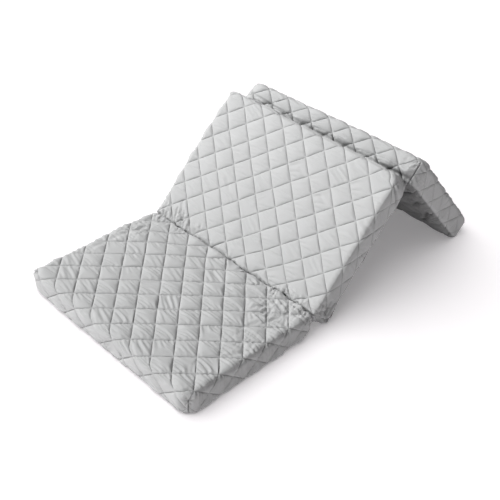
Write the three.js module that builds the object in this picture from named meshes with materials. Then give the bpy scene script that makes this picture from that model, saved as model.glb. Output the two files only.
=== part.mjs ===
// A tri-fold quilted mattress, partly unfolded. The front section lies flat on the floor, and the
// middle and back sections stand against each other like a tent. Millimetres, +Z up, X across the width.
import * as THREE from "three";

// One padded section, measured at the level of its quilting seams.
const WIDTH = 602;
const LENGTH = 400;
const FRONT_LENGTH = 405; // the flat section spreads a little
const THICK = 66;
const EDGE_RADIUS = 14;
const FOLD_RADIUS = 6; // the tighter edge along a sewn fold
const CROWN = 3; // how far a face swells in its middle
const CORNER_DRAW = 2.5; // how far a corner is drawn in by its upright seam
const SIDE_DRAW = 2; // how far a side draws in between its corners

// Quilting: square diamonds whose corners stand one pitch apart, puffed between the seams.
const PUFF = 3.4;
const CELLS_PER_PITCH = 4;
const CELLS_ACROSS = 32;
const CELLS_ALONG = 21;
const CELLS_UP = 4;
const SEAM_REACH = 34; // the puff fades over this distance towards a corner seam or a sewn fold

// Pose of the three sections, seen from the side: Y runs along the mattress, Z is up.
const MIDDLE_SLOPE = THREE.MathUtils.degToRad(45.1);
const BACK_SLOPE = THREE.MathUtils.degToRad(49);
const CREASE = { y: 401.8, z: 52.1 }; // upper near edge of the middle section
const CREASE_DIP = 11; // the front section's top sinks this much towards the crease
const DIP_REACH = 120;
const FOOT_SAG = 21; // the middle section's lower near edge sags onto the floor
const FOOT_REACH = 110;
const PEAK_GAP = 4.8; // room for the peak's fold strip, between the two seam edges
const PEAK_LIFT = { y: -1.2, z: 5.5 }; // the right end of the peak against its middle
const HEEL_SKEW = -5.7; // the right end of the back section's heel against its middle, along Y

// Fold strips: the sewn web of cover cloth between two sections.
const STRIP = { width: 570, lipDepth: 3, web: 2, steps: 16 };
const CREASE_WEB = 19; // how far the web hangs in the wedge under the crease
const CREASE_WEB_ANGLE = THREE.MathUtils.degToRad(18);
const PEAK_WEB = 8; // how far it stands in the open fold at the peak
const STRIP_CLEAR = 0.45; // kept to the sections on both sides

const COVER = new THREE.MeshStandardMaterial({ color: 0xcdcfd0, roughness: 0.92, metalness: 0 });
const WEB = new THREE.MeshStandardMaterial({ color: 0xb9babc, roughness: 0.95, metalness: 0 });

const HALF = WIDTH / 2;
const clamp = THREE.MathUtils.clamp;
const fade = (distance, reach) => THREE.MathUtils.smoothstep(distance, 0, reach);

// The vector (y, z) of the room, seen from a section that is turned by `slope` about X.
function intoSection(slope, y, z) {
  return { y: y * Math.cos(slope) + z * Math.sin(slope), z: z * Math.cos(slope) - y * Math.sin(slope) };
}

// Height of a quilted face over its seams. a and b count grid cells from a crossing of two seams.
function puffAt(a, b) {
  const share = (n) => (((n % CELLS_PER_PITCH) + CELLS_PER_PITCH) % CELLS_PER_PITCH) / CELLS_PER_PITCH;
  const u = share(a + b);
  const v = share(a - b);
  return PUFF * Math.sqrt(16 * u * (1 - u) * v * (1 - v));
}

// Where a grid point (i, j, k) of the box's surface goes, and how its cover is puffed there.
function sectionPoint(i, j, k, spec) {
  const x = -HALF + (WIDTH * i) / CELLS_ACROSS;
  const y = (spec.length * j) / CELLS_ALONG;
  const z = (THICK * k) / CELLS_UP;
  const foldDistance = Math.min(...spec.folds.map((f) => Math.hypot(y - f.y, z - f.z)));
  const radius = foldDistance < EDGE_RADIUS ? FOLD_RADIUS : EDGE_RADIUS;
  const core = new THREE.Vector3(
    clamp(x, -HALF + radius, HALF - radius),
    clamp(y, radius, spec.length - radius),
    clamp(z, radius, THICK - radius),
  );
  const normal = new THREE.Vector3(x, y, z).sub(core).normalize();

  // The quilted cloth runs on over the edges, so a point on a side counts its way down the side.
  const onSide = i === 0 || i === CELLS_ACROSS;
  const onEnd = j === 0 || j === CELLS_ALONG;
  const down = CELLS_UP - k;
  const a = onSide ? (i === 0 ? -down : CELLS_ACROSS + down) : i;
  const b = spec.row + (onEnd ? (j === 0 ? -down : CELLS_ALONG + down) : j);
  const corner = Math.hypot(HALF - Math.abs(x), Math.min(y, spec.length - y));
  let puff = puffAt(a, onSide ? spec.row + j : b) * fade(corner, SEAM_REACH) * fade(foldDistance, SEAM_REACH);
  if (onSide && onEnd) puff = 0;
  if (spec.flatBase && k === 0) puff = 0;
  const point = core.addScaledVector(normal, radius + puff);

  // The filled form: a crown on the faces, sides drawn in between the corners, corners drawn in.
  const across = 1 - (x / HALF) ** 2;
  const along = 1 - (2 * y / spec.length - 1) ** 2;
  const height = (2 * z) / THICK - 1;
  if (!spec.flatBase || height > 0) point.z += CROWN * across * along * height;
  point.x -= Math.sign(x) * SIDE_DRAW * along * (Math.abs(x) / HALF) ** 4;
  const draw = CORNER_DRAW * (1 - fade(corner, SEAM_REACH)) * Math.SQRT1_2;
  point.x -= Math.sign(x) * draw;
  point.y += (y < spec.length / 2 ? 1 : -1) * draw;
  return spec.settle(point, x / HALF, y / spec.length);
}

// A closed quilted section. Cell diagonals follow the seams, so each diamond is a low pillow.
function quiltedSection(spec) {
  const positions = [];
  const triangles = [];
  const known = new Map();
  const vertex = (i, j, k) => {
    const key = `${i},${j},${k}`;
    if (!known.has(key)) {
      known.set(key, positions.length / 3);
      positions.push(...sectionPoint(i, j, k, spec).toArray());
    }
    return known.get(key);
  };
  // One face of cells: `at` gives a corner's grid point, `seam` its count from a seam crossing.
  const face = (columns, rows, at, seam, wanted = () => true) => {
    for (let c = 0; c < columns; c++) {
      for (let r = 0; r < rows; r++) {
        if (!wanted(c, r)) continue;
        const corners = [[c, r], [c + 1, r], [c + 1, r + 1], [c, r + 1]];
        const [p, q, s, t] = corners.map(([m, n]) => vertex(...at(m, n)));
        const [hp, hq, hs, ht] = corners.map(([m, n]) => puffAt(...seam(m, n)));
        const [rising, falling] = [hp + hs, hq + ht];
        const onSeam = Math.min(rising, falling) < PUFF / 100;
        if (onSeam ? rising < falling : rising >= falling) triangles.push(p, q, s, p, s, t);
        else triangles.push(p, q, t, q, s, t);
      }
    }
  };
  const [nx, ny, nz] = [CELLS_ACROSS, CELLS_ALONG, CELLS_UP];
  const inner = (c, r) => c > 0 && c < nx - 1 && r > 0 && r < ny - 1;
  face(nx, ny, (c, r) => [c, r, nz], (c, r) => [c, spec.row + r]);
  face(nx, nz, (c, r) => [c, 0, r], (c, r) => [c, spec.row + r - nz]);
  face(nx, nz, (c, r) => [c, ny, nz - r], (c, r) => [c, spec.row + ny + r]);
  face(ny, nz, (c, r) => [nx, c, r], (c, r) => [nx + nz - r, spec.row + c]);
  face(ny, nz, (c, r) => [0, c, nz - r], (c, r) => [-r, spec.row + c]);
  face(
    nx,
    ny,
    (c, r) => [c, ny - r, 0],
    (c, r) => [c, spec.row + ny - r],
    (c, r) => !spec.flatBase || !inner(c, r),
  );
  if (spec.flatBase) {
    // The flat underside is a fan round its middle, inside the outer row of cells.
    const rim = [];
    for (let i = 1; i < nx - 1; i++) rim.push(vertex(i, 1, 0));
    for (let j = 1; j < ny - 1; j++) rim.push(vertex(nx - 1, j, 0));
    for (let i = nx - 1; i > 1; i--) rim.push(vertex(i, ny - 1, 0));
    for (let j = ny - 1; j > 1; j--) rim.push(vertex(1, j, 0));
    const middle = positions.length / 3;
    positions.push(0, spec.length / 2, 0);
    rim.forEach((v, n) => triangles.push(middle, rim[(n + 1) % rim.length], v));
  }
  const geometry = new THREE.BufferGeometry();
  geometry.setAttribute("position", new THREE.Float32BufferAttribute(positions, 3));
  geometry.setIndex(triangles);
  geometry.computeVertexNormals();
  return geometry;
}

// Lifts a section's point that would sink through the floor, straight up in the room.
function keepAboveFloor(point, slope, originZ) {
  const height = originZ + point.y * Math.sin(slope) + point.z * Math.cos(slope);
  if (height >= 0) return point;
  const up = intoSection(slope, 0, -height);
  point.y += up.y;
  point.z += up.z;
  return point;
}

function section(name, spec, slope, y, z) {
  const mesh = new THREE.Mesh(quiltedSection(spec), COVER);
  mesh.name = name;
  mesh.rotation.x = slope;
  mesh.position.set(0, y, z);
  return mesh;
}

// Origins of the tilted sections: the lower near edge of each.
const middleOrigin = {
  y: CREASE.y + THICK * Math.sin(MIDDLE_SLOPE),
  z: CREASE.z - THICK * Math.cos(MIDDLE_SLOPE),
};
const peakEdge = {
  y: middleOrigin.y + LENGTH * Math.cos(MIDDLE_SLOPE),
  z: middleOrigin.z + LENGTH * Math.sin(MIDDLE_SLOPE),
};
const foldInset = FOLD_RADIUS * (Math.SQRT2 - 1); // a rounded seam edge stands this far inside its corner
const backOrigin = { y: peakEdge.y + PEAK_GAP - 2 * foldInset, z: peakEdge.z };

const frontSection = section(
  "section_front",
  {
    length: FRONT_LENGTH,
    row: CELLS_PER_PITCH - (CELLS_ALONG % CELLS_PER_PITCH),
    flatBase: true,
    folds: [{ y: FRONT_LENGTH, z: THICK }],
    settle(point, across, along) {
      const dip = fade(DIP_REACH - (1 - along) * FRONT_LENGTH, DIP_REACH);
      point.z *= 1 - (CREASE_DIP / THICK) * dip;
      return point;
    },
  },
  0,
  LENGTH - FRONT_LENGTH,
  0,
);

const middleSection = section(
  "section_middle",
  {
    length: LENGTH,
    row: 0,
    flatBase: false,
    folds: [{ y: 0, z: THICK }, { y: LENGTH, z: 0 }],
    settle(point, across, along) {
      const lift = intoSection(MIDDLE_SLOPE, PEAK_LIFT.y, PEAK_LIFT.z);
      const low = clamp(1 - point.z / THICK, 0, 1) ** 2;
      const sag = FOOT_SAG * (1 - fade(along * LENGTH, FOOT_REACH)) * low;
      const drop = intoSection(MIDDLE_SLOPE, 0, -sag);
      point.y += lift.y * across * along + drop.y;
      point.z += lift.z * across * along + drop.z;
      return keepAboveFloor(point, MIDDLE_SLOPE, middleOrigin.z);
    },
  },
  MIDDLE_SLOPE,
  middleOrigin.y,
  middleOrigin.z,
);

const backSection = section(
  "section_back",
  {
    length: LENGTH,
    row: 0,
    flatBase: false,
    folds: [{ y: 0, z: 0 }],
    settle(point, across, along) {
      const lift = intoSection(-BACK_SLOPE, PEAK_LIFT.y * (1 - along) + HEEL_SKEW * along, PEAK_LIFT.z * (1 - along));
      point.y += lift.y * across;
      point.z += lift.z * across;
      return keepAboveFloor(point, -BACK_SLOPE, backOrigin.z);
    },
  },
  -BACK_SLOPE,
  backOrigin.y,
  backOrigin.z,
);

// A web of cloth between two end faces, its thicker lip in the seam where the sections meet.
// lip is the lip's width, from its middle, angle the web's turn from the upright, lift the right
// end's offset, and depth how far the web runs: below 0 it hangs down.
function foldStrip(name, lip, from, angle, depth, lift) {
  const direction = { y: Math.sin(angle), z: Math.sign(depth) * Math.cos(angle) };
  const side = { y: -direction.z, z: direction.y };
  const outline = [
    [0, -lip / 2],
    [STRIP.lipDepth, -lip / 2],
    [STRIP.lipDepth * 2, -STRIP.web / 2],
    [Math.abs(depth), -STRIP.web / 2],
    [Math.abs(depth), STRIP.web / 2],
    [STRIP.lipDepth * 2, STRIP.web / 2],
    [STRIP.lipDepth, lip / 2],
    [0, lip / 2],
  ];
  const positions = [];
  const triangles = [];
  const n = outline.length;
  for (let s = 0; s <= STRIP.steps; s++) {
    const share = (2 * s) / STRIP.steps - 1;
    for (const [deep, out] of outline) {
      positions.push(
        (share * STRIP.width) / 2,
        from.y + direction.y * deep + side.y * out + (lift.y * share * STRIP.width) / WIDTH,
        from.z + direction.z * deep + side.z * out + (lift.z * share * STRIP.width) / WIDTH,
      );
    }
  }
  for (let s = 0; s < STRIP.steps; s++) {
    for (let p = 0; p < n; p++) {
      const q = (p + 1) % n;
      const [a, b, c, d] = [s * n + p, s * n + q, (s + 1) * n + q, (s + 1) * n + p];
      triangles.push(a, b, c, a, c, d);
    }
  }
  const caps = THREE.ShapeUtils.triangulateShape(outline.map(([u, v]) => new THREE.Vector2(u, v)), []);
  for (const [a, b, c] of caps) {
    triangles.push(a, c, b);
    triangles.push(STRIP.steps * n + a, STRIP.steps * n + b, STRIP.steps * n + c);
  }
  const geometry = new THREE.BufferGeometry();
  geometry.setAttribute("position", new THREE.Float32BufferAttribute(positions, 3));
  geometry.setIndex(triangles);
  geometry.computeVertexNormals();
  const mesh = new THREE.Mesh(geometry, WEB);
  mesh.name = name;
  return mesh;
}

const frontLip = LENGTH - foldInset * Math.SQRT1_2;
const middleLip = CREASE.y + foldInset;
const creaseStrip = foldStrip(
  "fold_strip_crease",
  middleLip - frontLip - 2 * STRIP_CLEAR,
  { y: (frontLip + middleLip) / 2, z: CREASE.z + 0.5 },
  CREASE_WEB_ANGLE,
  -CREASE_WEB,
  { y: 0, z: 0 },
);
const peakStrip = foldStrip(
  "fold_strip_peak",
  PEAK_GAP - 2 * STRIP_CLEAR,
  { y: peakEdge.y - foldInset + PEAK_GAP / 2, z: peakEdge.z - STRIP.lipDepth / 2 },
  0,
  PEAK_WEB,
  PEAK_LIFT,
);

const pieces = new THREE.Group();
pieces.add(frontSection, middleSection, backSection, creaseStrip, peakStrip);

// The origin is the middle of the ground that the whole part covers.
const covered = new THREE.Box3().setFromObject(pieces, true);
const middleOfAll = covered.getCenter(new THREE.Vector3());
pieces.position.set(-middleOfAll.x, -middleOfAll.y, -covered.min.z);

const mattress = new THREE.Group();
mattress.add(pieces);

export default mattress;
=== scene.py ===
# A quilted tri-fold mattress, partly unfolded: cover cloth, quilting, folds, floor, light and camera.
import math
from collections import namedtuple
import bpy
import numpy as np
from mathutils import Matrix, Vector


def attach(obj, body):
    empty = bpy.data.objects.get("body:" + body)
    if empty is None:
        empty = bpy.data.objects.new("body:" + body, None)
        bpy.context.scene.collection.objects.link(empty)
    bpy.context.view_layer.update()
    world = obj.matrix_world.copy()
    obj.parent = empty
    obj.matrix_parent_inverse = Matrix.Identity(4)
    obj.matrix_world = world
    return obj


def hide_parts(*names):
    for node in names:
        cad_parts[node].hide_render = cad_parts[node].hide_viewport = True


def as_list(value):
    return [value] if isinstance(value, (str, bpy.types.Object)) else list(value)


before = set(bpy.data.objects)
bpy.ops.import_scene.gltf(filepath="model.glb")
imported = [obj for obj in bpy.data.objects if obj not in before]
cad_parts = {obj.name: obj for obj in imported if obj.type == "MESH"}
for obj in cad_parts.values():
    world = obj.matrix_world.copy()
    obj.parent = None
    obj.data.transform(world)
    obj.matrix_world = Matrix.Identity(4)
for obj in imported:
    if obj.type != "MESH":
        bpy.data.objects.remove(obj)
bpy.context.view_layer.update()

# Sizes are millimetres in a section's own frame: x across, y along, z through its thickness.
MM = 0.001
WIDTH = 602
HALF = WIDTH / 2
LENGTH = 400
FRONT_LENGTH = 405
THICK = 66
EDGE_RADIUS = 14
FOLD_RADIUS = 6
CROWN = 3
CORNER_DRAW = 2.5
SIDE_DRAW = 2

# The cover is a grid of small cells, and its quilting seams run along their diagonals.
PITCH = 28
COLUMNS = 225
ROWS = 150
FRONT_ROWS = 151
LEVELS = PITCH
# Over how many of the lowest levels the underside's painted shade fades out.
UNDERSIDE_SHADE_LEVELS = 3
CELL = WIDTH / COLUMNS
SEAM_SPACING = PITCH * CELL / math.sqrt(2)
ON_SEAM = 1e-6
PATTERN = 40

# How the padding swells between the seams.
PUFF = 2.9
PUFF_FLATNESS = 0.55
UNEVEN_FILL = 0.15
CORNER_REACH = 34
SWELL_MIDDLE = 16
SWELL_REACH = 13
SIDE_PUFF = 0.6
SEAM_DEPTH = 0.6
CROSSING_RISE = 0.9
CROSSING_REACH = 7
SEAM_WANDER = 0.9
WANDER_STEP = 45
FULL_CRUMPLE = 3.4

# The sewing sample: a flat quilted cloth whose diamonds a cloth simulation fills and wrinkles.
SAMPLE_PITCHES = 5
SAMPLE_FRAMES = 13
SEWN_FRAME = 7
SLACK_ALONG = 0.035
SLACK_ACROSS = 0.005
SLACK_STEP = 38
START_RISE = 3
START_SHARE = 0.3
START_ROUGHNESS = 0.08
SAMPLE_SHARE = 1.05

# Pose of the sections, seen from the side, in the frame's Y and Z.
MIDDLE_SLOPE = math.radians(45.1)
BACK_SLOPE = math.radians(49)
FRONT_ORIGIN = (-523.155, 0.0)
MIDDLE_ORIGIN = (-69.604, 5.512)
BACK_ORIGIN = (212.574, 288.848)

# How the soft sections settle in that pose: dips, sags, lifts and bulges, and how far each reaches.
CREASE_DIP = 11
DIP_REACH = 120
CREASE_RISE = 8
RISE_START = -200
RISE_RUN = 300
RISE_REACH = 90
FOOT_SAG = 21
FOOT_REACH = 110
FOOT_TUCK = 0.45
TUCK_REACH = 60
HEEL_LIFT = 9
HEEL_REACH = 130
COVER_SLIP = 4.5
SLIP_REACH = 30
SIDE_BULGE = 7
RIDGE_TILT = 6
PEAK_LIFT = (-1.2, 5.5)
CREASE_SWAY = 3.0
SWAY_REACH = 45
HEEL_SKEW = -5.7


def fade(distance, reach):
    """0 at distance 0 and below, 1 from reach on, eased between."""
    share = np.clip(distance / reach, 0, 1)
    return share * share * (3 - 2 * share)


def into_section(slope, y, z):
    """The vector (y, z) of the room, in a section that is turned by slope about X."""
    return y * math.cos(slope) + z * math.sin(slope), z * math.cos(slope) - y * math.sin(slope)


def pillow(a, b):
    """Height of the quilted cloth, 0 on a seam and 1 in the middle of a diamond."""
    u = np.mod(a + b, PITCH) / PITCH
    v = np.mod(a - b, PITCH) / PITCH
    return np.sqrt(16 * u * (1 - u) * v * (1 - v))


def soft_noise(x, y, step_x, step_y, seed):
    """Smooth noise between about -1 and 1, on a lattice of step_x by step_y millimetres."""
    size = 160
    lattice = np.random.default_rng(seed).uniform(-1, 1, (size, size))
    gx, gy = x / step_x + size / 4, y / step_y + size / 4
    ix, iy = np.floor(gx).astype(int), np.floor(gy).astype(int)
    fx, fy = fade(gx - ix, 1), fade(gy - iy, 1)

    def at(m, n):
        return lattice[(ix + m) % size, (iy + n) % size]

    near = at(0, 0) * (1 - fx) + at(1, 0) * fx
    far = at(0, 1) * (1 - fx) + at(1, 1) * fx
    return near * (1 - fy) + far * fy


def grid_quads(at):
    """The quads of a grid of points, whose numbers are in the two-way array at."""
    return np.stack([at[:-1, :-1], at[1:, :-1], at[1:, 1:], at[:-1, 1:]], -1).reshape(-1, 4)


def sewn_diamonds():
    """Heights of simulated quilt diamonds in millimetres, by diamond, p and q.

    p and q count cells across a diamond from its two sets of seams. The cloth is cut too long along
    the section and is gathered onto its seams, so it wrinkles across, while pressure fills it.
    """
    n = SAMPLE_PITCHES * PITCH
    i, j = (g.ravel() for g in np.meshgrid(np.arange(n + 1), np.arange(n + 1), indexing="ij"))
    seated = pillow(i, j)
    draw = np.random.default_rng(5)
    rough = START_ROUGHNESS * draw.normal(size=len(i)) * (seated > 0)
    rise = START_SHARE * (START_RISE * seated + rough)
    uneven = 1 + 0.7 * soft_noise(i * CELL, j * CELL, SLACK_STEP, SLACK_STEP, 6)
    slack = SLACK_ALONG * uneven.reshape(n + 1, n + 1)
    slack[:, 0] = 0
    longer = j * CELL + (np.cumsum(slack, 1) * CELL).ravel()
    sewn = np.stack([i * CELL, j * CELL, rise], -1) * MM
    cut = np.stack([i * CELL * (1 + SLACK_ACROSS), longer, rise], -1) * MM
    held = (seated < ON_SEAM) | (i == 0) | (j == 0) | (i == n) | (j == n)
    height = simulated(cut, sewn, held, n)[:, 2] / MM

    diamonds = []
    p, q = np.mod(i + j, PITCH), np.mod(i - j, PITCH)
    for big_u in range(2 * SAMPLE_PITCHES):
        for big_v in range(-SAMPLE_PITCHES, SAMPLE_PITCHES):
            inside = ((i + j) // PITCH == big_u) & ((i - j) // PITCH == big_v)
            if inside.sum() < PITCH * PITCH // 2:
                continue
            diamond = np.zeros((PITCH, PITCH))
            diamond[p[inside], q[inside]] = height[inside]
            diamonds.append(diamond)
    return np.stack(diamonds)


def simulated(cut, sewn, held, n):
    """Runs the cloth from its cut shape to its sewn one and returns where its points end."""
    at = np.arange((n + 1) ** 2).reshape(n + 1, n + 1)
    mesh = bpy.data.meshes.new("sample")
    mesh.from_pydata(cut.tolist(), [], grid_quads(at).tolist())
    cloth = bpy.data.objects.new("sample", mesh)
    bpy.context.scene.collection.objects.link(cloth)
    group = cloth.vertex_groups.new(name="held")
    group.add(np.nonzero(held)[0].tolist(), 1.0, "REPLACE")
    cloth.shape_key_add(name="cut")
    key = cloth.shape_key_add(name="sewn")
    key.data.foreach_set("co", sewn.ravel())
    for frame_number, value in ((1, 0.0), (SEWN_FRAME, 1.0)):
        key.value = value
        key.keyframe_insert("value", frame=frame_number)
    modifier = cloth.modifiers.new("cloth", "CLOTH")
    settings = modifier.settings
    settings.quality = 3
    settings.mass = 0.001
    settings.bending_stiffness = 1.0
    settings.use_pressure = True
    settings.uniform_pressure_force = 60
    settings.vertex_group_mass = "held"
    settings.effector_weights.gravity = 0
    modifier.collision_settings.use_collision = False
    modifier.point_cache.frame_end = SAMPLE_FRAMES
    scene = bpy.context.scene
    for frame_number in range(1, SAMPLE_FRAMES + 1):
        scene.frame_set(frame_number)
    ended = cloth.evaluated_get(bpy.context.evaluated_depsgraph_get()).to_mesh()
    points = np.empty(len(held) * 3)
    ended.vertices.foreach_get("co", points)
    bpy.data.objects.remove(cloth)
    bpy.data.meshes.remove(mesh)
    scene.frame_set(1)
    return points.reshape(-1, 3)


# The sample's diamonds, split into the filling that they share and the wrinkles of each.
DIAMONDS = sewn_diamonds()
FILLED = DIAMONDS.mean(0)
WRINKLES = DIAMONDS - FILLED


def quilt_height(a, b, seed, wrinkled):
    """Height of a section's cover over its seams.

    The simulated diamonds are dealt out over a square of PATTERN by PATTERN of them, which repeats.
    """
    a, b = np.round(a).astype(int), np.round(b).astype(int)
    big_u, big_v = (a + b) // PITCH, (a - b) // PITCH
    place = big_u % PATTERN, big_v % PATTERN
    draw = np.random.default_rng(seed)
    which = draw.integers(0, len(DIAMONDS), (PATTERN, PATTERN))[place]
    fill = draw.uniform(1 - UNEVEN_FILL, 1 + UNEVEN_FILL, (PATTERN, PATTERN))[place]
    p, q = np.mod(a + b, PITCH), np.mod(a - b, PITCH)
    base = pillow(a, b) ** PUFF_FLATNESS
    sewn = FILLED[p, q] + wrinkled * WRINKLES[which, p, q]
    along = np.maximum(np.minimum(p, PITCH - p), np.minimum(q, PITCH - q)) * CELL / math.sqrt(2)
    open_seam = fade(along, CROSSING_REACH)
    sunk = SEAM_DEPTH * open_seam - CROSSING_RISE * (1 - open_seam)
    return fill * (PUFF * base + SAMPLE_SHARE * sewn) - np.where(base < ON_SEAM, sunk, 0)


# Features of a section, in millimetres of its own frame.
# An Edge runs across at y and z. The puff fades out within reach of it and swells beside it on one face.
# A Corner is upright, at the signs of its side and end. It is rounded in plan and drawn in, or out below 0.
# A Crease is a trough, and its last field is the painted shade laid along it (on a dart's seam it also
# stands for the darker thread). A Crumple is a place full of ridges, step apart.
# A Gather is where the cloth is drawn into the sewn edge at y and z.
Edge = namedtuple("Edge", "y z radius reach swell face")
Corner = namedtuple("Corner", "side end radius draw")
Crease = namedtuple("Crease", "start end depth width dark", defaults=(0,))
Crumple = namedtuple("Crumple", "middle reach height step", defaults=(9,))
Gather = namedtuple("Gather", "y z reach height")


def crease_height(point, crease):
    """A soft trough from start to end, with a low lip on both sides of it, and the painted shade laid along
    it.
    """
    start, end = np.array(crease.start, float), np.array(crease.end, float)
    run = end - start
    share = np.clip(((point - start) @ run) / (run @ run), 0, 1)
    off = np.linalg.norm(point - start - share[:, None] * run, axis=1) / crease.width
    trough = np.exp(-(off ** 2)) - 0.35 * np.exp(-((off - 1.9) ** 2))
    taper = 1 - 0.6 * (2 * share - 1) ** 2
    return -crease.depth * trough * taper, crease.dark * np.exp(-((1.6 * off) ** 2)) * taper


def crumple_share(point, crumple):
    """1 in the middle of a crumpled place, and less around it."""
    off = np.linalg.norm(point - np.array(crumple.middle, float), axis=1)
    return np.exp(-(off / crumple.reach) ** 2)


def gather_share(point, gather, seed):
    """How much of the gathers is left at a point, unevenly along the sewn edge."""
    off = np.hypot(point[:, 1] - gather.y, point[:, 2] - gather.z)
    here = 0.3 + 0.7 * np.abs(soft_noise(point[:, 0], 0 * off, 60, 10, seed))
    return np.exp(-off / gather.reach) * here


def ridges(point, step, seed):
    """Sharp folds with round valleys between them, about -1 to 1."""
    x, y = point[:, 0] + 0.35 * point[:, 1], point[:, 1] + point[:, 2]
    return 1 - 2.8 * np.abs(soft_noise(x, y, step, step * 2.8, seed))


def pleats(point, gather, seed):
    """Short folds that run straight into the sewn edge."""
    off = np.hypot(point[:, 1] - gather.y, point[:, 2] - gather.z)
    return soft_noise(point[:, 0], off, 8, 26, seed + 1)


def round_corner(point, corner, length):
    """Turns the square upright corner into an arc in plan, and draws it in."""
    end = length if corner.end > 0 else 0
    out_x = corner.side * point[:, 0] - (HALF - corner.radius)
    out_y = corner.end * (point[:, 1] - end) + corner.radius
    near = 1 - fade(np.hypot(HALF - corner.side * point[:, 0], point[:, 1] - end), CORNER_REACH)
    reach = np.maximum(np.hypot(out_x, out_y), 1e-6)
    cos, sin = out_x / reach, out_y / reach
    inner = corner.radius - EDGE_RADIUS
    toward = inner * (cos + sin)
    arc = toward + np.sqrt(np.maximum(toward ** 2 - 2 * inner ** 2 + EDGE_RADIUS ** 2, 0))
    high, low = np.maximum(cos, sin), np.minimum(cos, sin)
    rim = np.where(low < high * inner / corner.radius, corner.radius / np.maximum(high, 0.1), arc)
    shrink = np.where((out_x > 0) & (out_y > 0), corner.radius / rim - 1, 0)
    point[:, 0] += corner.side * (out_x * shrink - corner.draw * near)
    point[:, 1] += corner.end * out_y * shrink


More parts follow.
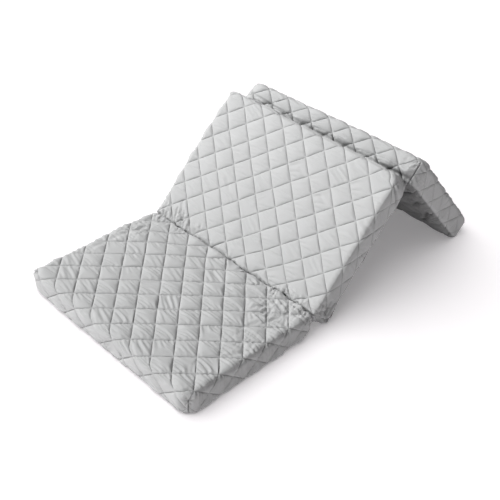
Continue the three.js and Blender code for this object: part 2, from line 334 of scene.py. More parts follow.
class Section:
    """One padded section: its grid, its quilting, its creases and its place."""

    def __init__(self, name, slope, origin, rows, crossing, edges, settle, **more):
        self.name = name
        self.slope = slope
        self.origin = origin
        self.rows = rows
        self.crossing = crossing
        self.edges = edges
        self.settle = settle
        self.length = more.get("length", LENGTH)
        self.flat_base = more.get("flat_base", False)
        self.seed = more["seed"]
        self.puff = more.get("puff", 1)
        self.wrinkled = more.get("wrinkled", (1.2, 0))
        self.corners = more.get("corners", [])
        self.creases = more.get("creases", [])
        self.crumples = more.get("crumples", [])
        self.gathers = more.get("gathers", [])

    def faces(self):
        """The six faces as cells: for each, its corners' grid points and their cloth counts (a, b)."""
        nx, ny, nz = COLUMNS, self.rows, LEVELS
        layout = [
            (nx, ny, lambda c, r: (c, r, nz + 0 * c), lambda c, r: (c, r)),
            (nx, nz, lambda c, r: (c, 0 * c, r), lambda c, r: (c, r - nz)),
            (nx, nz, lambda c, r: (c, ny + 0 * c, nz - r), lambda c, r: (c, ny + r)),
            (ny, nz, lambda c, r: (nx + 0 * c, c, r), lambda c, r: (nx + nz - r, c)),
            (ny, nz, lambda c, r: (0 * c, c, nz - r), lambda c, r: (-r, c)),
            (nx, ny, lambda c, r: (c, ny - r, 0 * c), lambda c, r: (c, ny - r)),
        ]
        for columns, rows, at, cloth in layout:
            c, r = (g.ravel() for g in np.meshgrid(np.arange(columns), np.arange(rows), indexing="ij"))
            corners = [(c, r), (c + 1, r), (c + 1, r + 1), (c, r + 1)]
            points = np.stack([np.stack(at(m, n), -1) for m, n in corners], 1)
            counts = np.stack([np.stack(cloth(m, n), -1) for m, n in corners], 1)
            yield points, counts - np.array(self.crossing)

    def edge_shape(self, y, z, on_end):
        """The radius that the section has at each point, and how much the puff swells or fades there."""
        radius = np.full(len(y), float(EDGE_RADIUS))
        swell = np.ones(len(y))
        for edge in self.edges:
            off = np.hypot(y - edge.y, z - edge.z)
            radius = np.where(off < EDGE_RADIUS, edge.radius, radius)
            bulging = on_end if edge.face == "end" else ~on_end
            more = edge.swell * np.exp(-((off - SWELL_MIDDLE) / SWELL_REACH) ** 2)
            swell *= (1 + more * bulging) * fade(off, edge.reach)
        return radius, swell

    def draw_in(self, point, x, y, z, corner):
        """Crowns the top and the underside, and draws in the sides, the corners and the tight corners."""
        across = 1 - (x / HALF) ** 2
        along = 1 - (2 * y / self.length - 1) ** 2
        height = 2 * z / THICK - 1
        crown = CROWN * across * along * height
        point[:, 2] += np.where(height > 0, crown, 0 if self.flat_base else crown)
        point[:, 0] -= np.sign(x) * SIDE_DRAW * along * (np.abs(x) / HALF) ** 4
        draw = CORNER_DRAW * (1 - fade(corner, CORNER_REACH)) / math.sqrt(2)
        point[:, 0] -= np.sign(x) * draw
        point[:, 1] += np.where(y < self.length / 2, 1, -1) * draw
        for tight in self.corners:
            round_corner(point, tight, self.length)

    def place(self, i, j, k):
        """Where the grid points (i, j, k) lie in the section's own frame.

        It also notes which of them are on a seam, how crumpled the cloth is there, and how much painted
        shade the creases lay on it.
        """
        x = -HALF + WIDTH * i / COLUMNS
        y = self.length * j / self.rows
        z = THICK * k / LEVELS
        box = np.stack([x, y, z], -1)
        on_side = (i == 0) | (i == COLUMNS)
        on_end = (j == 0) | (j == self.rows)
        radius, swell = self.edge_shape(y, z, on_end)
        core = np.stack([
            np.clip(x, -HALF + radius, HALF - radius),
            np.clip(y, radius, self.length - radius),
            np.clip(z, radius, THICK - radius),
        ], -1)
        normal = box - core
        normal /= np.linalg.norm(normal, axis=1, keepdims=True)

        down = LEVELS - k
        a0, b0 = self.crossing
        a = np.where(on_side, np.where(i == 0, -down, COLUMNS + down), i) - a0
        b = np.where(on_end & ~on_side, np.where(j == 0, -down, self.rows + down), j) - b0
        corner = np.hypot(HALF - np.abs(x), np.minimum(y, self.length - y))
        wrinkled = self.wrinkled[0] + self.wrinkled[1] * fade(x + HALF, WIDTH)
        puff = self.puff * quilt_height(a, b, self.seed, wrinkled) * fade(corner, CORNER_REACH) * swell
        puff = np.where(on_side & on_end, 0, puff)
        puff *= np.where(on_side, SIDE_PUFF, 1)
        self.on_seam = pillow(a, b) < ON_SEAM
        point = core + normal * radius[:, None]
        worked, self.crumpled, self.dark = self.worked_height(box)
        puff += worked
        if self.flat_base:
            puff = np.where(k == 0, 0, puff)
        point += normal * puff[:, None]
        for axis, seed in ((0, self.seed + 5), (1, self.seed + 6)):
            point[:, axis] += SEAM_WANDER * soft_noise(a * CELL, b * CELL, WANDER_STEP, WANDER_STEP, seed)
        self.draw_in(point, x, y, z, corner)
        self.settle(point, x / HALF, y / self.length)
        return point

    def worked_height(self, point):
        """What the creases, crumples and gathers add along the normal, how crumpled the cloth is, and the
        creases' painted shade.
        """
        height = np.zeros(len(point))
        crumpled = np.zeros(len(point))
        dark = np.zeros(len(point))
        for crease in self.creases:
            trough, line = crease_height(point, crease)
            height += trough
            dark = np.maximum(dark, line)
        for n, crumple in enumerate(self.crumples):
            share = crumple_share(point, crumple)
            height += crumple.height * share * ridges(point, crumple.step, self.seed + 50 + n)
            crumpled = np.maximum(crumpled, share * min(1, crumple.height / FULL_CRUMPLE))
        for n, gather in enumerate(self.gathers):
            share = gather_share(point, gather, self.seed + 90 + n)
            height += gather.height * share * pleats(point, gather, self.seed + 90 + n)
            crumpled = np.maximum(crumpled, 0.5 * share)
        return height, crumpled, dark

    def cut_faces(self):
        """Each face corner's grid key and cloth counts, and the number of corners of each face.

        A quad that a seam crosses is cut into two triangles along it.
        """
        loops = []
        counts = []
        sizes = []
        for points, cloth in self.faces():
            key = (points[..., 0] * 1000 + points[..., 1]) * 1000 + points[..., 2]
            on_seam = pillow(cloth[..., 0], cloth[..., 1]) < ON_SEAM
            rising = on_seam[:, 0] & on_seam[:, 2]
            falling = on_seam[:, 1] & on_seam[:, 3] & ~rising
            plain = ~(rising | falling)
            for pick, orders in (
                (plain, [(0, 1, 2, 3)]),
                (rising, [(0, 1, 2), (0, 2, 3)]),
                (falling, [(0, 1, 3), (1, 2, 3)]),
            ):
                for order in orders:
                    loops.append(key[pick][:, order].ravel())
                    counts.append(cloth[pick][:, order].reshape(-1, 2))
                    sizes.append(np.full(pick.sum(), len(order)))
        return np.concatenate(loops), np.concatenate(counts), np.concatenate(sizes)

    def build(self):
        """Makes the cover's mesh, with its UV map, its attributes and its crisp seams."""
        loops, counts, sizes = self.cut_faces()
        keys, index = np.unique(loops, return_inverse=True)
        i, j, k = keys // 1_000_000, keys // 1000 % 1000, keys % 1000
        points = self.to_room(self.place(i, j, k))

        mesh = bpy.data.meshes.new(self.name + "_cover")
        mesh.vertices.add(len(keys))
        mesh.vertices.foreach_set("co", (points * MM).ravel())
        mesh.loops.add(len(index))
        mesh.loops.foreach_set("vertex_index", index)
        mesh.polygons.add(len(sizes))
        mesh.polygons.foreach_set("loop_start", np.concatenate([[0], np.cumsum(sizes)[:-1]]))
        mesh.polygons.foreach_set("loop_total", sizes)
        quilt = mesh.uv_layers.new(name="quilt")
        uv = np.stack([counts[:, 0] + counts[:, 1], counts[:, 0] - counts[:, 1]], -1) / PITCH
        quilt.data.foreach_set("uv", uv.ravel())
        # underneath is 1 on the underside and fades out over the lowest levels: the material paints shade
        # with it.
        underneath = 1 - fade(k.astype(float), UNDERSIDE_SHADE_LEVELS)
        for name, values in (("crumpled", self.crumpled), ("dark", self.dark), ("underneath", underneath)):
            mesh.attributes.new(name, "FLOAT", "POINT").data.foreach_set("value", values)
        mesh.update(calc_edges=True)
        ends = np.empty(len(mesh.edges) * 2, int)
        mesh.edges.foreach_get("vertices", ends)
        crisp = self.on_seam[ends].reshape(-1, 2).all(1)
        mesh.attributes.new("sharp_edge", "BOOLEAN", "EDGE").data.foreach_set("value", crisp)
        mesh.validate()
        mesh.shade_smooth()
        piece = bpy.data.objects.new(self.name + "_cover", mesh)
        bpy.context.scene.collection.objects.link(piece)
        return piece

    def to_room(self, point):
        """The points in the frame's own axes, and none of them under the floor."""
        c, s = math.cos(self.slope), math.sin(self.slope)
        y = self.origin[0] + point[:, 1] * c - point[:, 2] * s
        z = self.origin[1] + point[:, 1] * s + point[:, 2] * c
        return np.stack([point[:, 0], y, np.maximum(z, 0)], -1)


def crease_sway(x):
    """How far the sewn crease strays from its straight line, as (y, z) of the room."""
    sideways = CREASE_SWAY * soft_noise(x, 0 * x, 48, 10, 81)
    return sideways, 0.7 * CREASE_SWAY * soft_noise(x, 0 * x, 40, 10, 82)


def crease_rise(x):
    """How much higher than at its left end the crease lies at x."""
    return CREASE_RISE * fade(x - RISE_START, RISE_RUN)


def settle_front(point, across, along):
    """The front section dips towards the crease, and its back right corner is drawn up underneath."""
    to_crease = (1 - along) * FRONT_LENGTH
    dip = fade(DIP_REACH - to_crease, DIP_REACH)
    point[:, 2] *= 1 - (CREASE_DIP - crease_rise(point[:, 0])) / THICK * dip
    near = 1 - fade(to_crease, SWAY_REACH)
    to_right = HALF - across * HALF
    heel = fade(HEEL_REACH - to_crease, HEEL_REACH) * fade(HEEL_REACH - to_right, HEEL_REACH)
    point[:, 2] += HEEL_LIFT * heel * np.clip(1 - point[:, 2] / THICK, 0, 1)
    sway = crease_sway(point[:, 0])
    point[:, 1] += sway[0] * near
    point[:, 2] += sway[1] * near * point[:, 2] / THICK


def settle_middle(point, across, along):
    """The middle section's foot sags into the wedge, its left side bulges and its cover runs askew."""
    up = along * LENGTH
    lift = into_section(MIDDLE_SLOPE, *PEAK_LIFT)
    low = np.clip(1 - point[:, 2] / THICK, 0, 1) ** 2
    to_right = HALF - across * HALF
    held_up = 1 - FOOT_TUCK * fade(TUCK_REACH - to_right, TUCK_REACH)
    sag = FOOT_SAG * (1 - fade(up, FOOT_REACH)) * low * held_up
    down = into_section(MIDDLE_SLOPE, 0, -1)
    near = 1 - fade(up, SWAY_REACH)
    sway = into_section(MIDDLE_SLOPE, *crease_sway(point[:, 0]))
    high = np.clip(point[:, 2] / THICK, 0, 1)
    rise = crease_rise(point[:, 0]) * high * (1 - fade(up, RISE_REACH))
    slip = COVER_SLIP * across * fade(up, SLIP_REACH) * fade((1 - along) * LENGTH, SLIP_REACH)
    point[:, 0] -= SIDE_BULGE * np.clip(-across, 0, 1) ** 3 * (1 - (2 * along - 1) ** 2)
    point[:, 1] += lift[0] * across * along + down[0] * (sag - rise) + sway[0] * near * high - slip
    point[:, 2] += lift[1] * across * along + down[1] * (sag - rise) + sway[1] * near * high


def settle_back(point, across, along):
    """The back section follows the peak's slant, and its ridge slants a little more."""
    shift_y = PEAK_LIFT[0] * (1 - along) + HEEL_SKEW * along
    shift_z = (PEAK_LIFT[1] + RIDGE_TILT * np.clip(point[:, 2] / THICK, 0, 1)) * (1 - along)
    shift = into_section(-BACK_SLOPE, shift_y, shift_z)
    point[:, 1] += shift[0] * across
    point[:, 2] += shift[1] * across


def cells(distance):
    """A distance on the cover as a whole number of its cells."""
    return round(distance / CELL)


def corner_dart(side, end, top, depth=2.4):
    """The upright seam of a boxed corner, and the puckers that fan out of its top end, each with painted
    shade along it; on the seam it also stands for the darker thread.

    side and end are the corner's own x and y, and top is how high the seam reaches.
    """
    inward = -math.copysign(1, side)
    toward = 1 if end == 0 else -1
    dart = [Crease((side, end, -6), (side, end, top + 4), depth, 2.4, 0.6)]
    for reach, rise in ((12, 12), (17, 3), (10, -11)):
        for x, y in ((inward, 0), (0, toward)):
            start = side + x, end + y, top
            stop = side + x * reach, end + y * reach, top + rise
            dart.append(Crease(start, stop, 2.4, 2.6, 0.35))
    return dart


# Creases and crumpled places of each section, chosen from the photo.
# A Crease's last number is the painted shade along it.
FRONT_CREASES = [
    *corner_dart(HALF, 0, 46, 3.8),
    *corner_dart(-HALF, 0, 60),
    *corner_dart(HALF, FRONT_LENGTH, 44),
    Crease((-HALF, 0, 44), (-HALF, 0, 66), 5, 4, 0.6),
    Crease((-301, 2, 66), (-289, 4, 66), 5, 7, 0.95),
    Crease((-268, 219, 66), (-262, 274, 66), 2.2, 6),
    Crease((-256, 285, 66), (-250, 345, 66), 2.4, 6),
    Crease((-272, 160, 66), (-268, 205, 66), 1.8, 6),
    Crease((-245, 83, 66), (-205, 79, 66), 2.0, 4),
    Crease((-232, 365, 66), (-190, 357, 66), 1.8, 4),
    Crease((-154, 6, 64), (-60, 12, 66), 1.4, 6),
    Crease((262, 150, 66), (289, 201, 66), 1.8, 5),
    Crease((215, 235, 66), (236, 293, 66), 1.8, 5),
    Crease((240, 273, 66), (252, 351, 66), 2.2, 5),
    Crease((184, 301, 66), (204, 359, 66), 2.0, 5),
]
FRONT_CRUMPLES = [
    Crumple((178, 398, 66), 22, 4.0),
    Crumple((266, 396, 66), 30, 4.5),
    Crumple((-262, 392, 66), 28, 3.0),
    Crumple((-190, 398, 66), 20, 2.5),
    Crumple((60, 402, 66), 16, 2.4),
    Crumple((230, 338, 66), 60, 1.5, 6.5),
    Crumple((266, 225, 66), 46, 1.2, 6.5),
    Crumple((-264, 300, 66), 56, 1.3, 6),
]
MIDDLE_CREASES = [
    *corner_dart(-HALF, LENGTH, 40),
    Crease((HALF, 376, 66), (HALF, 345, 12), 5, 4, 0.35),
    Crease((HALF, 384, 46), (HALF, 382, 52), 4, 3.0, 0.5),
    Crease((HALF, 6, 30), (HALF, 62, 38), 5, 3.6, 0.25),
    Crease((HALF, 8, 20), (HALF, 70, 18), 5, 3.6, 0.3),
    Crease((HALF, 6, 10), (HALF, 60, 0), 5, 3.6, 0.3),
    Crease((HALF, 4, 42), (HALF, 44, 60), 4, 3.4, 0.25),
    Crease((HALF, 2, 50), (HALF, 12, 8), 4, 3.2, 0.35),
    Crease((38, 300, 66), (67, 287, 66), 1.4, 5),
    Crease((129, 267, 66), (161, 257, 66), 1.4, 5),
    Crease((266, 232, 66), (293, 224, 66), 1.6, 5),
    Crease((-149, 176, 66), (-117, 154, 66), 1.4, 5),
    Crease((-246, 113, 66), (-208, 96, 66), 1.6, 5),
    Crease((-237, 63, 66), (-214, 22, 66), 2.4, 3.5),
    Crease((-193, 44, 66), (-170, 8, 66), 2.4, 3.5),
]
MIDDLE_CRUMPLES = [
    Crumple((-216, 20, 66), 28, 3.6),
    Crumple((-142, 18, 66), 16, 2.6),
    Crumple((-268, 12, 66), 24, 3.0),
    Crumple((195, 8, 66), 24, 3.4),
    Crumple((255, 6, 66), 22, 3.0),
    Crumple((299, 16, 26), 34, 3.2),
]
BACK_CREASES = [
    Crease((HALF, 0, -4), (HALF, 0, 70), 4, 2.6, 0.7),
    Crease((-150, 0, 14), (230, 0, 13), 3, 5, 0.5),
    Crease((-296, 0, 30), (-110, 0, 17), 3, 4, 0.45),
    Crease((190, 0, 12), (299, 0, 14), 6, 8, 0.85),
    Crease((296, 0, 62), (268, 0, 44), 2.8, 3.6),
    Crease((297, 0, 48), (278, 0, 36), 2.0, 3.2),
    Crease((296, 0, 22), (268, 0, 16), 2.0, 3.6),
    Crease((301, 4, 52), (301, 30, 44), 2.0, 3.6),
    Crease((301, 4, 30), (301, 26, 18), 2.2, 3.6),
    Crease((280, 70, 0), (200, 150, 0), 4, 7, 0.45),
    Crease((290, 110, 0), (225, 215, 0), 4, 6, 0.45),
    Crease((240, 50, 0), (150, 90, 0), 4, 7, 0.45),
    Crease((284, 190, 0), (236, 300, 0), 3.5, 7, 0.45),
    Crease((200, 160, 0), (130, 250, 0), 4, 8, 0.45),
    Crease((262, 268, 0), (200, 352, 0), 3.5, 7, 0.45),
    Crease((180, 60, 0), (60, 130, 0), 4, 8, 0.45),
    Crease((292, 40, 0), (262, 20, 0), 4, 5, 0.45),
    *corner_dart(HALF, LENGTH, 60),
    *corner_dart(-HALF, LENGTH, 60),
    *corner_dart(-HALF, 0, 60),
]

SECTIONS = [
    Section(
        "front", 0, FRONT_ORIGIN, FRONT_ROWS, (cells(HALF + 294), cells(398)),
        [Edge(FRONT_LENGTH, THICK, FOLD_RADIUS, 9, 0.4, "top")], settle_front,
        length=FRONT_LENGTH, flat_base=True, seed=11, wrinkled=(1.3, 1.1),
        corners=[Corner(1, -1, 27, 0), Corner(-1, -1, 15, -9), Corner(-1, 1, 15, -3)],
        creases=FRONT_CREASES, crumples=FRONT_CRUMPLES,
        gathers=[Gather(FRONT_LENGTH, THICK, 15, 5)],
    ),
    Section(
        "middle", MIDDLE_SLOPE, MIDDLE_ORIGIN, ROWS, (cells(HALF + 295.8), -1),
        [
            Edge(0, THICK, FOLD_RADIUS, 9, 0.4, "top"),
            Edge(LENGTH, 0, FOLD_RADIUS, 6, 0.6, "end"),
            Edge(LENGTH, THICK, 9, 0.1, 0, "end"),
        ],
        settle_middle, seed=21, puff=0.8,
        corners=[Corner(1, 1, 30, 2), Corner(-1, -1, 15, -4), Corner(-1, 1, 15, -7)],
        creases=MIDDLE_CREASES, crumples=MIDDLE_CRUMPLES,
        gathers=[Gather(0, THICK, 14, 4.5), Gather(LENGTH, 0, 16, 2.5)],
    ),
    Section(
        "back", -BACK_SLOPE, BACK_ORIGIN, ROWS, (cells(HALF + 279), -2),
        [Edge(0, 0, FOLD_RADIUS, 5, 2.0, "end")], settle_back,
        seed=31, corners=[Corner(1, -1, 15, 9), Corner(-1, -1, 15, -8)],
        creases=BACK_CREASES, crumples=[Crumple((262, 44, 0), 60, 2.4), Crumple((278, 200, 0), 50, 1.4)],
        gathers=[Gather(0, 0, 14, 3.5)],
    ),
]


# Fold strips: thin gathered cloth in the sewn folds, by their places in the frame's Y and Z.
STRIP_CLOTH = 1.2
STRIP_STEP = 2.5
CREASE_STRIP_ENDS = (-299, 306)
CREASE_STRIP_TOP = (-116.9, 49.5)
CREASE_STRIP_DEPTH = 19
CREASE_STRIP_ANGLE = math.radians(18)
PEAK_STRIP_ENDS = (-290, 289)
PEAK_STRIP_FOOT = (212.6, 283)
PEAK_STRIP_HEIGHT = 4.5
PEAK_STRIP_RAISED = 16


def gathered_strip(name, centre):
    """A closed thin sheet round the points `centre`, a grid of (along the fold, down the strip)."""
    along, down = np.gradient(centre, axis=0), np.gradient(centre, axis=1)
    normal = np.cross(along, down)
    normal /= np.linalg.norm(normal, axis=2, keepdims=True)
    n, m = centre.shape[:2]
    layers = np.stack([centre + normal * STRIP_CLOTH / 2, centre - normal * STRIP_CLOTH / 2])
    at = np.arange(2 * n * m).reshape(2, n, m)
    quads = [grid_quads(at[0]), grid_quads(at[1])[:, [0, 3, 2, 1]]]
    rim = np.concatenate([at[:, :, 0].T, at[:, -1, 1:].T, at[:, -2::-1, -1].T, at[:, 0, -2:0:-1].T])
    follow = np.roll(rim, -1, 0)
    quads.append(np.stack([rim[:, 0], rim[:, 1], follow[:, 1], follow[:, 0]], -1))
    mesh = bpy.data.meshes.new(name)
    mesh.from_pydata((layers.reshape(-1, 3) * MM).tolist(), [], np.concatenate(quads).tolist())
    mesh.validate()
    mesh.shade_smooth()
    strip = bpy.data.objects.new(name, mesh)
    bpy.context.scene.collection.objects.link(strip)
    return strip


def crease_strip():
    """The web under the crease. Its waves grow downwards, and most where it bunches at the right end."""
    depths = np.linspace(0, CREASE_STRIP_DEPTH, 9)
    s, d = np.meshgrid(np.arange(*CREASE_STRIP_ENDS, STRIP_STEP), depths, indexing="ij")
    cos, sin = math.cos(CREASE_STRIP_ANGLE), math.sin(CREASE_STRIP_ANGLE)
    sway = crease_sway(s)
    bunch = fade(s - 262, 40)
    wave = (0.3 + 0.13 * d) * soft_noise(s, d, 9, 30, 71) + bunch * (1 + 0.25 * d) * np.sin(s * 0.42)
    sink = 0.8 * soft_noise(s, 0 * s, 30, 10, 72) + 2.5 * fade(s - 284, 12) + 9 * fade(-s - 278, 14)
    y = CREASE_STRIP_TOP[0] + sway[0] + d * sin + wave * cos
    z = CREASE_STRIP_TOP[1] + crease_rise(s) + sway[1] + sink - d * cos + wave * sin
    return gathered_strip("crease_strip_cloth", np.stack([s, y, z], -1))


def peak_strip():
    """The web in the slit at the peak, raised at its left end, where it shows."""
    heights = np.linspace(0, PEAK_STRIP_HEIGHT, 6)
    s, d = np.meshgrid(np.arange(*PEAK_STRIP_ENDS, STRIP_STEP), heights, indexing="ij")
    lean = s / HALF
    raised = PEAK_STRIP_RAISED * fade(-112 - s, 30) * fade(s + 296, 20)
    wave = 0.9 * soft_noise(s, d, 12, 30, 73)
    y = PEAK_STRIP_FOOT[0] + PEAK_LIFT[0] * lean + wave
    z = PEAK_STRIP_FOOT[1] + PEAK_LIFT[1] * lean + d * (1 + raised / PEAK_STRIP_HEIGHT)
    return gathered_strip("peak_strip_cloth", np.stack([s, y, z], -1))


# Materials.
class Shade:
    """A socket of a material. Python's operators on it add Math nodes."""

    def __init__(self, tree, socket=None):
        self.tree = tree
        self.socket = socket

    def node(self, kind, settings, sockets, output=0):
        """Adds a node of that kind and returns the output with that number."""
        made = self.tree.nodes.new(kind)
        for name, value in settings.items():
            setattr(made, name, value)
        for name, value in sockets.items():
            if isinstance(value, Shade):
                self.tree.links.new(value.socket, made.inputs[name])
            else:
                made.inputs[name].default_value = value
        return Shade(self.tree, made.outputs[output])

    def math(self, operation, *values):
        return self.node("ShaderNodeMath", {"operation": operation}, dict(enumerate(values)))

    def __add__(self, other):
        return self.math("ADD", self, other)

    def __mul__(self, other):
        return self.math("MULTIPLY", self, other)

    def __sub__(self, other):
        return self.math("SUBTRACT", self, other)

    def __rsub__(self, other):
        return self.math("SUBTRACT", other, self)

    __radd__ = __add__
    __rmul__ = __mul__

    def smooth(self, low, high):
        """0 at low, 1 at high, eased between."""
        return self.node(
            "ShaderNodeMapRange", {"interpolation_type": "SMOOTHSTEP"},
            {"Value": self, "From Min": low, "From Max": high},
        )


# Half the width of a seam's thread, the length of a stitch and the width of a yarn.
THREAD = 0.45
STITCH = 3.4
YARN = 0.62


def new_cloth(name):
    """A matt cloth with a faint sheen: its material, its shader, and a Shade that its maths starts from."""
    material = bpy.data.materials.new(name)
    material.use_nodes = True
    shader = material.node_tree.nodes["Principled BSDF"]
    shader.inputs["Sheen Weight"].default_value = 0.12
    shader.inputs["Sheen Roughness"].default_value = 0.5
    shader.inputs["Specular IOR Level"].default_value = 0.25
    return material, shader, Shade(material.node_tree)


def cover_cloth(name, colour, thread_and_shade_colour):
    """Fine woven cover with stitched seams. Its UV map counts diamonds, so seams are whole numbers."""
    material, shader, start = new_cloth(name)
    tree = start.tree
    quilt = start.node("ShaderNodeUVMap", {"uv_map": "quilt"}, {})
    u = start.node("ShaderNodeSeparateXYZ", {}, {"Vector": quilt}, 0)
    v = start.node("ShaderNodeSeparateXYZ", {}, {"Vector": quilt}, 1)

    def seam_distance(count):
        return start.math("PINGPONG", count, 0.5) * SEAM_SPACING

    def stitches(count, run):
        beat = start.math("PINGPONG", run * (SEAM_SPACING / STITCH), 0.5)
        return (1 - seam_distance(count).smooth(THREAD * 0.6, THREAD)) * beat.smooth(0.06, 0.14)

    nearest = start.math("MINIMUM", seam_distance(u), seam_distance(v))
    thread = start.math("MAXIMUM", stitches(u, v), stitches(v, u))
    farther = start.math("MAXIMUM", seam_distance(u), seam_distance(v))
    # Painted shade in the seams' grooves, fading out where seams cross.
    seam_shade = (1 - nearest.smooth(0.3, 1.7)) * farther.smooth(0.8, 5)

    x = (u + v) * (PITCH * CELL / 2)
    y = (u - v) * (PITCH * CELL / 2)
    weft = start.math("SINE", x * (2 * math.pi / YARN))
    warp = start.math("SINE", y * (2 * math.pi / YARN))
    weave = weft * warp

    place = start.node("ShaderNodeTexCoord", {}, {}, 3)
    mottle = start.node("ShaderNodeTexNoise", {}, {"Vector": place, "Scale": 14.0, "Detail": 3.0})
    fibres = start.node("ShaderNodeTexNoise", {}, {"Vector": place, "Scale": 900.0, "Detail": 2.0})
    # Painted shade: the underside loses up to 55 % of its tone.
    under = start.node("ShaderNodeAttribute", {"attribute_name": "underneath"}, {}, 2)
    # Painted shade along the creases, from their attribute.
    dark = start.node("ShaderNodeAttribute", {"attribute_name": "dark"}, {}, 2)
    tone = 0.95 + mottle * 0.1 + fibres * 0.05 - seam_shade * 0.22 + weave * 0.03
    tone = tone * (1 - under * 0.55) * (1 - dark)
    # The stitches' darker colour is partly the thread's own and partly painted shade of the groove that
    # they lie in.
    flat = start.node(
        "ShaderNodeMix", {"data_type": "RGBA"},
        {"Factor": thread, 6: (*colour, 1), 7: (*thread_and_shade_colour, 1)}, 2,
    )
    shaded = start.node("ShaderNodeVectorMath", {"operation": "SCALE"}, {"Vector": flat, "Scale": tone})
    tree.links.new(shaded.socket, shader.inputs["Base Color"])
    rough = 0.86 + fibres * 0.12
    tree.links.new(rough.socket, shader.inputs["Roughness"])
    crumpled = start.node("ShaderNodeAttribute", {"attribute_name": "crumpled"}, {}, 2)
    folds = start.node("ShaderNodeTexNoise", {}, {"Vector": place, "Scale": 105.0, "Detail": 2.0})
    sharp = start.math("ABSOLUTE", folds - 0.5) * crumpled
    height = weave * 0.05 + fibres * 0.06 + thread * 0.3 - sharp * 14
    bump = start.node("ShaderNodeBump", {}, {"Height": height, "Distance": 0.001, "Strength": 0.6})
    tree.links.new(bump.socket, shader.inputs["Normal"])
    return material


def strip_cloth(name, colour):
    """The cover cloth of the fold strips, plain and a little darker."""
    material, shader, start = new_cloth(name)
    place = start.node("ShaderNodeTexCoord", {}, {}, 3)
    mottle = start.node("ShaderNodeTexNoise", {}, {"Vector": place, "Scale": 40.0, "Detail": 3.0})
    fibres = start.node("ShaderNodeTexNoise", {}, {"Vector": place, "Scale": 900.0, "Detail": 2.0})
    tone = 0.86 + mottle * 0.2 + fibres * 0.06
    shaded = start.node("ShaderNodeVectorMath", {"operation": "SCALE"}, {"Vector": colour, "Scale": tone})
    start.tree.links.new(shaded.socket, shader.inputs["Base Color"])
    rough = 0.86 + fibres * 0.12
    start.tree.links.new(rough.socket, shader.inputs["Roughness"])
    bump = start.node("ShaderNodeBump", {}, {"Height": fibres * 0.1, "Distance": 0.001, "Strength": 0.6})
    start.tree.links.new(bump.socket, shader.inputs["Normal"])
    return material


STUDIO_WHITE = (1, 0.985, 0.995, 1)


def camera():
    """The camera, fitted to the crossings of the quilting in the photo."""
    data = bpy.data.cameras.new("camera")
    eye = bpy.data.objects.new("camera", data)
    bpy.context.scene.collection.objects.link(eye)
    right = Vector((0.6937992, 0.7198702, 0.0207249))
    down = Vector((0.4573902, -0.4182317, -0.7847780))
    forward = Vector((-0.5562705, 0.5539577, -0.6194304))
    place = Vector((1.41164, -1.44983, 1.62400))
    turn = Matrix((right, -down, -forward)).transposed().to_4x4()
    eye.matrix_world = Matrix.Translation(place) @ turn
    data.lens = 68.87
    data.sensor_width = 36
    bpy.context.scene.camera = eye


def white_floor():
    """A plane just under the sections, which gives a little light of its own."""
    bpy.ops.object.select_all(action="DESELECT")
    bpy.ops.mesh.primitive_plane_add(size=60, location=(0, 0, -0.0004))
    floor = bpy.context.object
    floor.name = "floor"
    paint = bpy.data.materials.new("floor_paint")
    paint.use_nodes = True
    shader = paint.node_tree.nodes["Principled BSDF"]
    shader.inputs["Base Color"].default_value = (0.93, 0.905, 0.92, 1)
    shader.inputs["Roughness"].default_value = 0.9
    shader.inputs["Specular IOR Level"].default_value = 0.1
    shader.inputs["Emission Color"].default_value = STUDIO_WHITE
    shader.inputs["Emission Strength"].default_value = 0.19
    floor.data.materials.append(paint)
    return floor


def white_backdrop():
    """A white wall all round that only the camera sees, so that low side views end in white."""
    bpy.ops.mesh.primitive_cylinder_add(radius=29.5, depth=40, end_fill_type="NOTHING", vertices=96)
    backdrop = bpy.context.object
    backdrop.name = "backdrop"
    backdrop.visible_diffuse = False
    backdrop.visible_glossy = False
    backdrop.visible_shadow = False
    white = bpy.data.materials.new("backdrop_white")
    white.use_nodes = True
    glow = white.node_tree.nodes["Principled BSDF"]
    glow.inputs["Base Color"].default_value = (0, 0, 0, 1)
    glow.inputs["Emission Color"].default_value = STUDIO_WHITE
    glow.inputs["Emission Strength"].default_value = 1.1
    backdrop.data.materials.append(white)


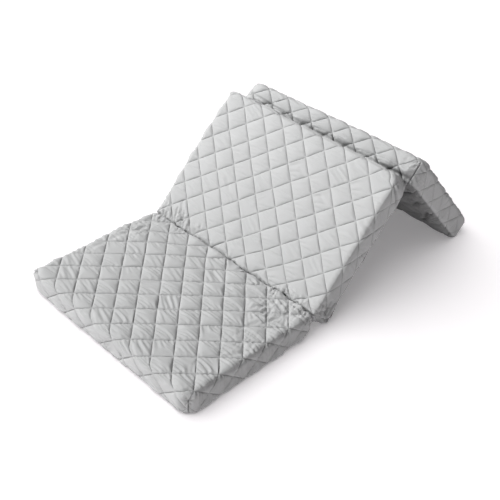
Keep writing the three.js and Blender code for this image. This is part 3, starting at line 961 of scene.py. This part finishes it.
def studio_light(floor):
    """A dim white world, and lamps of which one lights the floor alone and the others all but the floor."""
    world = bpy.data.worlds.new("studio")
    world.use_nodes = True
    sky = world.node_tree.nodes["Background"]
    sky.inputs["Color"].default_value = STUDIO_WHITE
    sky.inputs["Strength"].default_value = 0.2
    bpy.context.scene.world = world

    floor_alone = light_group("floor_alone", floor, "INCLUDE")
    not_floor = light_group("not_floor", floor, "EXCLUDE")
    sun("overhead", 2.7, 75, Vector((-0.30, -0.28, 0.91)), floor_alone)
    sun("key", 2.7, 34, Vector((-0.54, -0.45, 0.71)), not_floor)
    sun("front_fill", 1.1, 60, Vector((-0.25, -0.9, 0.36)), not_floor)
    left = bpy.data.lights.new("left_box", "AREA")
    left.energy = 14
    left.size = 1.2
    stand(left, Vector((-1.5, 0.1, 1.3)), Vector((-1.5, 0.2, 1.2)), not_floor)
    bpy.context.scene.view_settings.view_transform = "Standard"


def light_group(name, floor, state):
    """A group of receivers for lamps that light the floor alone, or all but the floor."""
    group = bpy.data.collections.new(name)
    group.objects.link(floor)
    group.collection_objects[0].light_linking.link_state = state
    return group


def sun(name, energy, degrees, towards, group):
    """A sun that stands in the direction towards, and looks that many degrees wide."""
    data = bpy.data.lights.new(name, "SUN")
    data.energy = energy
    data.angle = math.radians(degrees)
    stand(data, Vector((0, 0, 3)), towards, group)


def stand(data, place, towards, group):
    """Puts a lamp at place, with its back to the direction towards, for the pieces that its group names."""
    light = bpy.data.objects.new(data.name, data)
    light.location = place
    light.rotation_euler = towards.to_track_quat("Z", "Y").to_euler()
    light.light_linking.receiver_collection = group
    bpy.context.scene.collection.objects.link(light)


camera()
floor = white_floor()
white_backdrop()
studio_light(floor)
cover = cover_cloth("quilted_cover", (0.44, 0.444, 0.444), (0.22, 0.22, 0.225))
for section in SECTIONS:
    piece = section.build()
    piece.data.materials.append(cover)
    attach(piece, "root")
    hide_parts("section_" + section.name)

fold_cloth = strip_cloth("fold_cloth", (0.34, 0.34, 0.345))
for strip, node, flat, beside in (
    (crease_strip(), "fold_strip_crease", (0.62, 0.022), ["section_front", "section_middle"]),
    (peak_strip(), "fold_strip_peak", (0.6, 0.01), ["section_middle", "section_back"]),
):
    strip.data.materials.append(fold_cloth)
    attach(strip, "root")
    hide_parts(node)
    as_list(beside)
